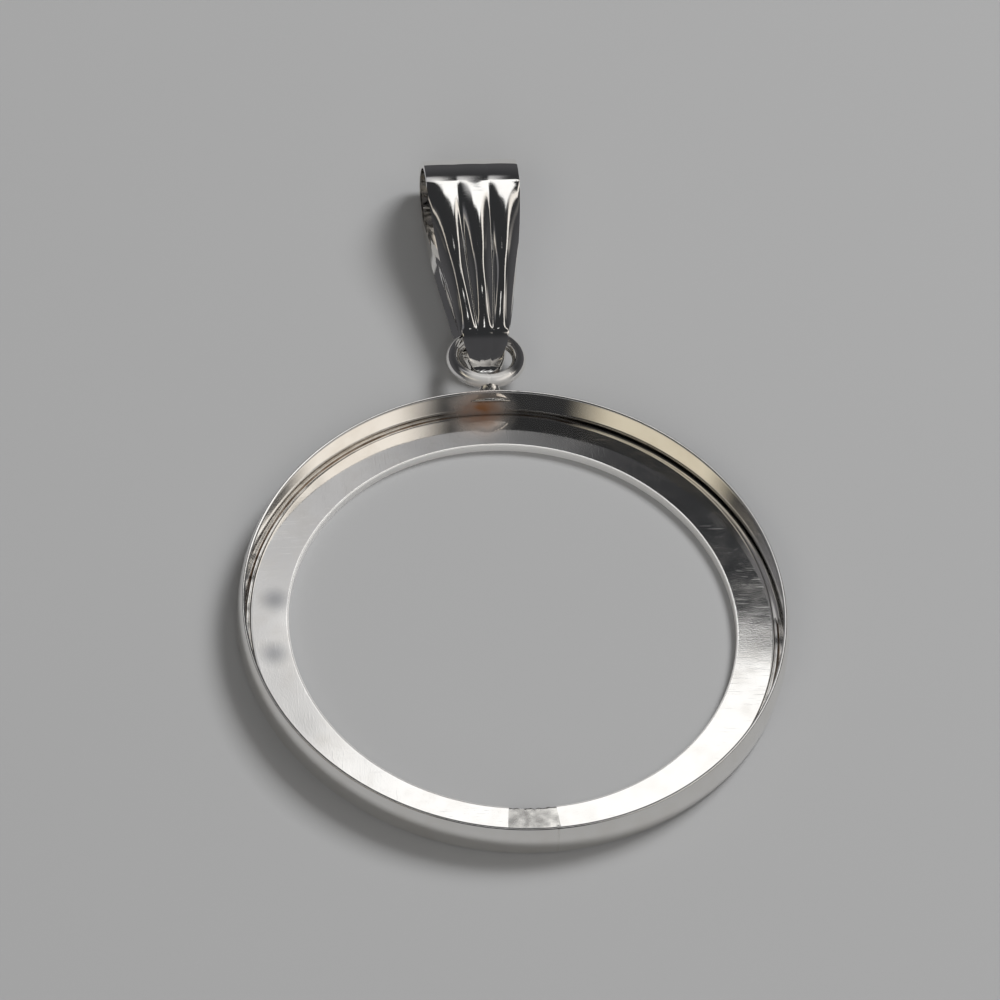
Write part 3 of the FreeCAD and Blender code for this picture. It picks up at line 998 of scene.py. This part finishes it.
class BEZEL_OT_stage(bpy.types.Operator):
    """Lay the pale floor and set the soft lights, the sky that the metal mirrors, and the camera"""

    bl_idname = "bezel.stage"
    bl_label = "Stage"
    bl_options = {"REGISTER", "UNDO"}

    def execute(self, context):
        sizes = context.scene.bezel_sizes
        start_clean()
        floor_z = CAD_BOX[0][2] - FLOOR_GAP * MM
        bpy.ops.mesh.primitive_plane_add(size=4.0, location=(0, 0, floor_z))
        floor = name_piece("floor")
        bpy.ops.object.transform_apply(location=True, rotation=True, scale=True)
        paint(floor, floor_paper("Card", sizes))
        self.light_the_sky(context.scene)
        for name, azimuth, elevation, size, power in LAMPS:
            a = math.radians(azimuth)
            e = math.radians(elevation)
            back = Vector((math.sin(a) * math.cos(e), math.cos(a) * math.cos(e), math.sin(e)))
            bpy.ops.object.light_add(type="AREA", location=back * LAMP_REACH + Vector((0, 0.008, 0)))
            lamp = context.object
            lamp.name = name
            lamp.data.size = size
            lamp.data.energy = power
            lamp.rotation_euler = back.to_track_quat("Z", "Y").to_euler()
            lamp.visible_glossy = False
        self.aim_camera(context.scene, sizes)
        context.scene.view_settings.view_transform = "Standard"
        return {"FINISHED"}

    def light_the_sky(self, scene):
        """Paint the studio: a plain tone above, and bright windows where the metal mirrors them."""
        world = bpy.data.worlds.new("Studio")
        scene.world = world
        world.use_nodes = True
        tree = world.node_tree
        shade = tree.nodes["Background"]
        coords = add(tree, "ShaderNodeTexCoord", (-1600, 0), "Direction")
        direction = coords.outputs["Generated"]
        split = add(tree, "ShaderNodeSeparateXYZ", (-1400, -300), "Height")
        tree.links.new(direction, split.inputs[0])
        turn = math_node(
            tree,
            "ARCTAN2",
            split.outputs["X"],
            split.outputs["Y"],
            (-1250, -100),
            "Azimuth in radians",
        )
        azimuth = math_node(tree, "MULTIPLY", turn, math.degrees(1), (-1100, -100), "Azimuth")
        climb = math_node(tree, "ARCSINE", split.outputs["Z"], None, (-1250, -400), "Elevation in radians")
        elevation = math_node(tree, "MULTIPLY", climb, math.degrees(1), (-1100, -400), "Elevation")
        rise = remap(tree, elevation, (-1200, -600), "Tone upwards", 5, 60, 0.0, 1.0, smooth=True)
        colour = blend_colours(tree, rise, SKY_LOW, SKY_HIGH, (-1000, 0), "Plain studio")
        for i, (label, left, right, side_soft, low, high, soft, tone) in enumerate(SKY_PANELS):
            spot = (-900 + 420 * i, -200)
            across = band(tree, azimuth, left, right, side_soft, spot, label + " across")
            upright = band(tree, elevation, low, high, soft, (spot[0], spot[1] - 350), label + " upright")
            mask = math_node(tree, "MULTIPLY", across, upright, (spot[0] + 320, spot[1]), label)
            colour = blend_colours(tree, mask, colour, tone, (spot[0] + 320, 100), label)
        path = add(tree, "ShaderNodeLightPath", (-600, 500), "Ray")
        colour = blend_colours(tree, path.outputs["Is Camera Ray"], colour, BACKDROP, (900, 200), "Backdrop")
        tree.links.new(colour, shade.inputs["Color"])
        shade.inputs["Strength"].default_value = 1.0
        shade.location = (1200, 0)
        tree.nodes["World Output"].location = (1400, 0)

    def aim_camera(self, scene, sizes):
        a = math.radians(CAMERA_AZIMUTH)
        e = math.radians(CAMERA_ELEVATION)
        back = Vector((math.sin(a) * math.cos(e), -math.cos(a) * math.cos(e), math.sin(e)))
        look_at = Vector(LOOK_AT) * MM
        reach = sizes.frame_width * CAMERA_LENS / SENSOR_WIDTH
        bpy.ops.object.camera_add(location=look_at + back * reach)
        camera = bpy.context.object
        camera.name = "camera"
        roll = Quaternion((0, 0, 1), math.radians(CAMERA_ROLL))
        camera.rotation_mode = "QUATERNION"
        camera.rotation_quaternion = (-back).to_track_quat("-Z", "Y") @ roll
        camera.data.lens = CAMERA_LENS
        camera.data.clip_start = 0.01
        camera.data.clip_end = 20.0
        scene.camera = camera


class BezelSizes(bpy.types.PropertyGroup):
    rim_round: bpy.props.FloatProperty(
        name="Rim round",
        description="Radius at the rim's two edges",
        default=0.035 * MM,
        unit="LENGTH",
        precision=5,
    )
    window_round: bpy.props.FloatProperty(
        name="Window edge",
        description="Radius at the seat's edge round the window",
        default=0.05 * MM,
        unit="LENGTH",
        precision=5,
    )
    shoulder_round: bpy.props.FloatProperty(
        name="Seat shoulder",
        description="Radius where the seat drops to its groove",
        default=0.06 * MM,
        unit="LENGTH",
        precision=5,
    )
    turn_steps: bpy.props.IntProperty(
        name="Steps round",
        description="Faces round the wall and seat",
        default=420,
        min=60,
        max=720,
    )
    bead_size: bpy.props.FloatProperty(
        name="Bead",
        description="Radius of the solder bead in the groove",
        default=0.105 * MM,
        unit="LENGTH",
        precision=5,
    )
    wire: bpy.props.FloatProperty(
        name="Wire",
        description="Radius of the jump ring's wire",
        default=WIRE_R * MM,
        unit="LENGTH",
        precision=5,
    )
    sheet: bpy.props.FloatProperty(
        name="Sheet",
        description="Thickness of the bail's sheet",
        default=SHEET * MM,
        unit="LENGTH",
        precision=5,
    )
    crown_width: bpy.props.FloatProperty(
        name="Crown width",
        description="Width of the bail at its crown",
        default=4.50 * MM,
        unit="LENGTH",
        precision=5,
    )
    bend_width: bpy.props.FloatProperty(
        name="Bend width",
        description="Width of the bail at the bend of its tail",
        default=2.20 * MM,
        unit="LENGTH",
        precision=5,
    )
    tail_width: bpy.props.FloatProperty(
        name="Tail width",
        description="Width of the bail's tail",
        default=1.84 * MM,
        unit="LENGTH",
        precision=5,
    )
    silver: bpy.props.FloatVectorProperty(
        name="Silver",
        description="Colour of the polished sheet",
        default=(0.91, 0.895, 0.87),
        subtype="COLOR",
        min=0,
        max=1,
    )
    tarnish: bpy.props.FloatVectorProperty(
        name="Tarnish",
        description="Colour where the polish has dulled",
        default=(0.80, 0.76, 0.70),
        subtype="COLOR",
        min=0,
        max=1,
    )
    solder: bpy.props.FloatVectorProperty(
        name="Solder",
        description="Colour of the bare solder",
        default=(0.88, 0.86, 0.82),
        subtype="COLOR",
        min=0,
        max=1,
    )
    card: bpy.props.FloatVectorProperty(
        name="Card",
        description="Colour of the floor",
        default=(0.470, 0.474, 0.480),
        subtype="COLOR",
        min=0,
        max=1,
    )
    polish: bpy.props.FloatProperty(
        name="Polish",
        description="Roughness of the polished sheet",
        default=0.06,
        min=0.0,
        max=1.0,
    )
    waviness: bpy.props.FloatProperty(
        name="Waviness",
        description="Height of the broad waves in the sheet",
        default=0.020 * MM,
        unit="LENGTH",
        precision=6,
    )
    frame_width: bpy.props.FloatProperty(
        name="View width",
        description="Width of the view at the object",
        default=47.6 * MM,
        unit="LENGTH",
        precision=4,
    )


class BEZEL_PT_sidebar(bpy.types.Panel):
    """The sizes and the steps that build the mount"""

    bl_idname = "BEZEL_PT_sidebar"
    bl_label = "Coin bezel mount"
    bl_space_type = "VIEW_3D"
    bl_region_type = "UI"
    bl_category = "Coin Bezel"

    def draw(self, context):
        sizes = context.scene.bezel_sizes
        for name in BezelSizes.__annotations__:
            self.layout.prop(sizes, name)
        for operator in OPERATORS:
            self.layout.operator(operator.bl_idname)


OPERATORS = (
    BEZEL_OT_wall,
    BEZEL_OT_seat,
    BEZEL_OT_seat_joint,
    BEZEL_OT_seat_bead,
    BEZEL_OT_jump_ring,
    BEZEL_OT_ring_solder,
    BEZEL_OT_bail,
    BEZEL_OT_joints,
    BEZEL_OT_stage,
)
CLASSES = (BezelSizes, *OPERATORS, BEZEL_PT_sidebar)


def register():
    for cls in CLASSES:
        bpy.utils.register_class(cls)
    bpy.types.Scene.bezel_sizes = bpy.props.PointerProperty(type=BezelSizes)


def unregister():
    del bpy.types.Scene.bezel_sizes
    for cls in reversed(CLASSES):
        bpy.utils.unregister_class(cls)


def main():
    register()
    bpy.ops.bezel.wall()
    bpy.ops.bezel.seat()
    bpy.ops.bezel.seat_joint()
    bpy.ops.bezel.seat_bead()
    bpy.ops.bezel.jump_ring()
    bpy.ops.bezel.ring_solder()
    bpy.ops.bezel.bail()
    bpy.ops.bezel.joints()
    bpy.ops.bezel.stage()


if __name__ == "__main__":
    main()
